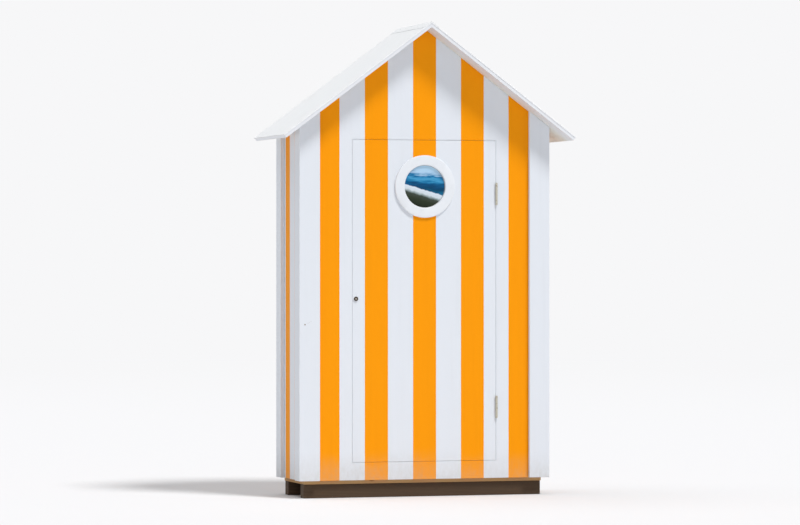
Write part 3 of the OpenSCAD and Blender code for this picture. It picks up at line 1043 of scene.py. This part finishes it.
# The colours of a painted reflection on the glass: a blue sky with wisps, and below it a band of
# haze over dark land.
reflected_sky_ramp = (
    (0.36, (0.006, 0.140, 0.270, 1)),
    (0.44, (0.001, 0.058, 0.135, 1)),
    (0.52, (0.002, 0.068, 0.180, 1)),
    (0.575, (0.003, 0.115, 0.280, 1)),
    (0.62, (0.020, 0.220, 0.450, 1)),
    (0.665, (0.065, 0.350, 0.620, 1)),
    (0.70, (0.050, 0.310, 0.570, 1)),
    (0.735, (0.004, 0.120, 0.310, 1)),
    (0.765, (0.030, 0.240, 0.480, 1)),
    (0.79, (0.300, 0.500, 0.710, 1)),
    (0.85, (0.440, 0.660, 0.880, 1)),
    (1.00, (0.520, 0.780, 0.980, 1)),
)
reflected_haze_ramp = (
    (0.00, (0.014, 0.022, 0.012, 1)),
    (0.16, (0.030, 0.042, 0.024, 1)),
    (0.25, (0.055, 0.070, 0.055, 1)),
    (0.29, (0.300, 0.380, 0.390, 1)),
    (0.33, (0.660, 0.740, 0.800, 1)),
    (0.42, (0.740, 0.820, 0.930, 1)),
)


def ring_paint(name):
    """Gloss paint on a turned ring: faint lathe rings under it, and a little dust in its foot."""
    finish = Finish(bpy.data.materials.new(name))
    dust = finish.noise((24, 24, 24), 4)
    stipple = finish.noise((500, 500, 500), 1)
    colour = finish.mix(finish.ease(dust, 0.5, 0.85) * 0.3, ring_white, ring_shade)
    dullness = dust * 0.15 + ring_dullness
    return finish.skin(colour, dullness, stipple, ring_depth, Specular_IOR_Level=ring_gloss)


def painted_reflection_glass(name, middle, radius):
    """Tinted mirror glass with a painted reflection: wisps across a blue sky, then slanting haze
    over dark land.
    """
    finish = Finish(bpy.data.materials.new(name))
    spot = finish.vectors("SUBTRACT", finish.place(), middle)
    spot = finish.vectors("MULTIPLY", spot, (1 / radius, 0, 1 / radius))
    across = finish.node("ShaderNodeSeparateXYZ", {}, {0: spot}, "X")
    up = finish.node("ShaderNodeSeparateXYZ", {}, {0: spot}, "Z")
    wisp = finish.noise((12, 0, 58), 5) - 0.5
    height = (up + across * reflected_cloud_slant) * 0.5 + wisp * 0.30 + 0.5
    reflected_clouds = finish.node("ShaderNodeValToRGB", {"stops": reflected_sky_ramp}, {0: height})
    level = up + across * reflected_haze_slant + (finish.noise((44, 0, 44), 4) - 0.5) * 0.12
    haze = finish.node("ShaderNodeValToRGB", {"stops": reflected_haze_ramp}, {0: level * 0.5 + 0.5})
    colour = finish.mix(finish.ease(level, *reflected_haze_edge), reflected_clouds, haze)
    smear = finish.noise((30, 30, 30), 4)
    dullness = smear * 0.10 + glass_dullness
    fixed = {"Alpha": glass_cover, "Specular_IOR_Level": glass_gloss}
    return finish.skin(colour, dullness, smear, smear_depth, **fixed)


def inner_glass(name):
    """The back of the tinted glass: an even blue-grey under dust, wiped in arcs."""
    finish = Finish(bpy.data.materials.new(name))
    wiped = finish.noise((16, 16, 34), 4)
    colour = finish.mix(finish.ease(wiped, 0.4, 0.75) * 0.5, glass_tint, glass_dust)
    dullness = wiped * 0.12 + back_dullness
    return finish.skin(colour, dullness, wiped, smear_depth, Alpha=glass_cover)


def smooth(piece):
    bpy.ops.object.select_all(action="DESELECT")
    bpy.context.view_layer.objects.active = piece
    piece.select_set(True)
    bpy.ops.object.shade_smooth_by_angle(angle=smooth_below)


turned_paint = ring_paint("turned_ring_paint")
outer_ring = copy_of("porthole_ring", "porthole_outer_ring", flat=False)
inner_ring = copy_of("porthole_clamp", "porthole_inner_ring", flat=False)
for ring in (outer_ring, inner_ring):
    smooth(ring)
    dress(ring, "door", "white_paint", turned_paint)

glass_low, glass_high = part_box("porthole_glass")
glass_middle = (Vector(glass_low) + Vector(glass_high)) / 2
pane = copy_of("porthole_pane", "porthole_glass", flat=False)
smooth(pane)
# The outer face of the pane gets the painted reflection, and the inner face a plain tint.
dress(
    pane,
    "door",
    "window_glass",
    painted_reflection_glass("glass_painted_reflection", glass_middle, view_r),
    (inner_glass("tinted_glass_inside"), facing((0, 1, 0))),
)

bead_finish = Finish(bpy.data.materials.new("sealant"))
bead_fuzz = bead_finish.noise((160, 160, 160), 3)
bead_colour = bead_finish.mix(bead_fuzz, bead_pale, bead_dusty)
sealant = bead_finish.skin(bead_colour, bead_fuzz * 0.2 + bead_dullness, bead_fuzz, bead_depth)
bead_at = (glass_middle.x + view_r - bead_size / 2, glass_low[1] - bead_size / 2, glass_middle.z)
bpy.ops.object.select_all(action="DESELECT")
bpy.ops.mesh.primitive_plane_add(size=bead_size, location=bead_at)
bpy.ops.object.transform_apply(location=True, rotation=True, scale=True)
bead = bpy.context.object
bead.name = "porthole_sealant"
open_piece(bead)
choose(bead, "VERT", lambda point: point.co.x < bead_at[0] and point.co.y < bead_at[1])
bpy.ops.transform.translate(value=(bead_size * bead_slant, bead_size * bead_slant, 0))
bpy.ops.mesh.select_all(action="SELECT")
bpy.ops.mesh.delete(type="ONLY_FACE")
bpy.ops.mesh.select_all(action="SELECT")
bpy.ops.mesh.spin(steps=bead_steps, angle=math.tau, center=glass_middle, axis=(0, 1, 0))
bpy.ops.mesh.select_all(action="SELECT")
bpy.ops.mesh.remove_doubles(threshold=weld_within)
bpy.ops.mesh.normals_make_consistent(inside=False)
close_piece()
smooth(bead)
dress(bead, "door", "window_glass", sealant)

clamp_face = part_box("porthole_inner_ring")[1][1]
clamp_moves = []
for i in range(clamp_screw_count):
    around = math.tau * (i + 0.5) / clamp_screw_count
    x = glass_middle.x + clamp_screw_ring * math.cos(around)
    z = glass_middle.z + clamp_screw_ring * math.sin(around)
    clamp_moves.append(turned((x, clamp_face, z), (0, 1, 0)))
set_heads("porthole_screws", "door", frame_screw(), clamp_moves)


# Lock
# A round cylinder passes through the door from a white rosette outside to an enamelled rim lock
# screwed on its inner face, with its bolt drawn back. Its keep is a steel plate on the door post.
core_bright = (0.55, 0.52, 0.45, 1)
rim_dark = (0.020, 0.016, 0.012, 1)
core_r = 0.0058
core_dullness = 0.30
core_depth = 0.00005
core_gloss = 0.2
case_enamel = (0.115, 0.120, 0.125, 1)
case_round = 0.0022
bolt_wide = 0.0056
bolt_high = 0.036
bolt_rise = 0.0005
bolt_arris = 0.0004
case_screw_in = 0.008
keep_screw_in = 0.012
lock_screw_r = 0.003
lock_screw_rise = 0.0003
lock_socket_r = 0.0013


def lock_metal(name, middle):
    """A bright worn core in a dark rim, told apart by how far out a point lies."""
    finish = Finish(bpy.data.materials.new(name))
    spot = finish.vectors("SUBTRACT", finish.place(), middle)
    spot = finish.vectors("MULTIPLY", spot, (1, 0, 1))
    rim = finish.vectors("LENGTH", spot, out="Value") > core_r
    wear = finish.noise((420, 420, 420), 4)
    colour = finish.mix(rim, core_bright, rim_dark)
    colour = finish.mix(wear * 0.3, colour, nail_rust)
    dullness = wear * 0.3 + core_dullness
    sheen = {"Metallic": 0.8 - rim * 0.7, "Specular_IOR_Level": core_gloss}
    return finish.skin(colour, dullness, wear, core_depth, **sheen)


def lock_screw():
    """A screw of the lock's case and of its keep."""
    return flat_head(
        lock_screw_r, lock_screw_rise, fixing_steel, dark_socket, socket=lock_socket_r
    )


cylinder_low, cylinder_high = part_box("lock_cylinder")
cylinder_middle = (Vector(cylinder_low) + Vector(cylinder_high)) / 2
repaint(lock_metal("lock_cylinder_metal", cylinder_middle), "lock_cylinder")
repaint(turned_paint, "lock_rosette")
repaint(fixing_steel, "lock_keep")
case = copy_of("lock_case_body", "lock_case")
round_edges(case, case_round, 3)
dress(case, "door", "steel", metal("lock_case_enamel", case_enamel, nail_rust, 0.3, 0.45, 0.2))

case_low, case_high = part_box("lock_case")
keep_low, keep_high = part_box("lock_keep")
bolt_y = (keep_low[1] + keep_high[1]) / 2
bolt = new_block(
    "lock_bolt_end",
    (case_low[0] - bolt_rise, bolt_y - bolt_wide / 2, cylinder_middle.z - bolt_high / 2),
    (case_low[0] + bolt_rise, bolt_y + bolt_wide / 2, cylinder_middle.z + bolt_high / 2),
)
round_edges(bolt, bolt_arris)
dress(bolt, "door", "steel", fixing_steel)
set_heads(
    "lock_case_screws",
    "door",
    lock_screw(),
    [
        turned((x, case_high[1], z), (0, 1, 0))
        for x in (case_low[0] + case_screw_in, case_high[0] - case_screw_in)
        for z in (case_low[2] + case_screw_in, case_high[2] - case_screw_in)
    ],
)
set_heads(
    "lock_keep_screws",
    "hut",
    lock_screw(),
    [
        turned((keep_high[0], bolt_y, z), (1, 0, 0))
        for z in (keep_low[2] + keep_screw_in, keep_high[2] - keep_screw_in)
    ],
)


# Hinges
# Two butt hinges of five knuckles each, left bare and gone dull and khaki in the salt air. One
# leaf lies on the edge of the door and one on the edge of the doorway, each held by three flush
# screws.
hinge_khaki = (0.560, 0.545, 0.460, 1)
hinge_stain = (0.330, 0.270, 0.185, 1)
leaf_screw_r = 0.0036
leaf_screw_rise = 0.0002
leaf_socket_r = 0.0015
leaf_screws_at = ((-0.180, 0.046), (-0.163, 0.0), (-0.180, -0.046))
wall_leaf_x = 0.4325
door_leaf_x = 0.4315

hinge_metal = metal("hinge_steel", hinge_khaki, hinge_stain, 0.45, 0.5, 0.3)
repaint(
    hinge_metal,
    "upper_hinge_wall_leaf",
    "upper_hinge_door_leaf",
    "lower_hinge_wall_leaf",
    "lower_hinge_door_leaf",
    "hinge_pins",
)
for leaf, x, outward, body in (
    ("wall", wall_leaf_x, (-1, 0, 0), "hut"),
    ("door", door_leaf_x, (1, 0, 0), "door"),
):
    leaf_moves = []
    for level in ("upper", "lower"):
        low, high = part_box(level + "_hinge_" + leaf + "_leaf")
        leaf_middle = (low[2] + high[2]) / 2
        for y, off_z in leaf_screws_at:
            leaf_moves.append(turned((x, y, leaf_middle + off_z), outward))
    leaf_screw = flat_head(
        leaf_screw_r, leaf_screw_rise, hinge_metal, dark_socket, socket=leaf_socket_r
    )
    set_heads(leaf + "_leaf_screws", body, leaf_screw, leaf_moves)


# The dressed size
# The box round everything that renders, the floor left out, is found.
low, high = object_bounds()
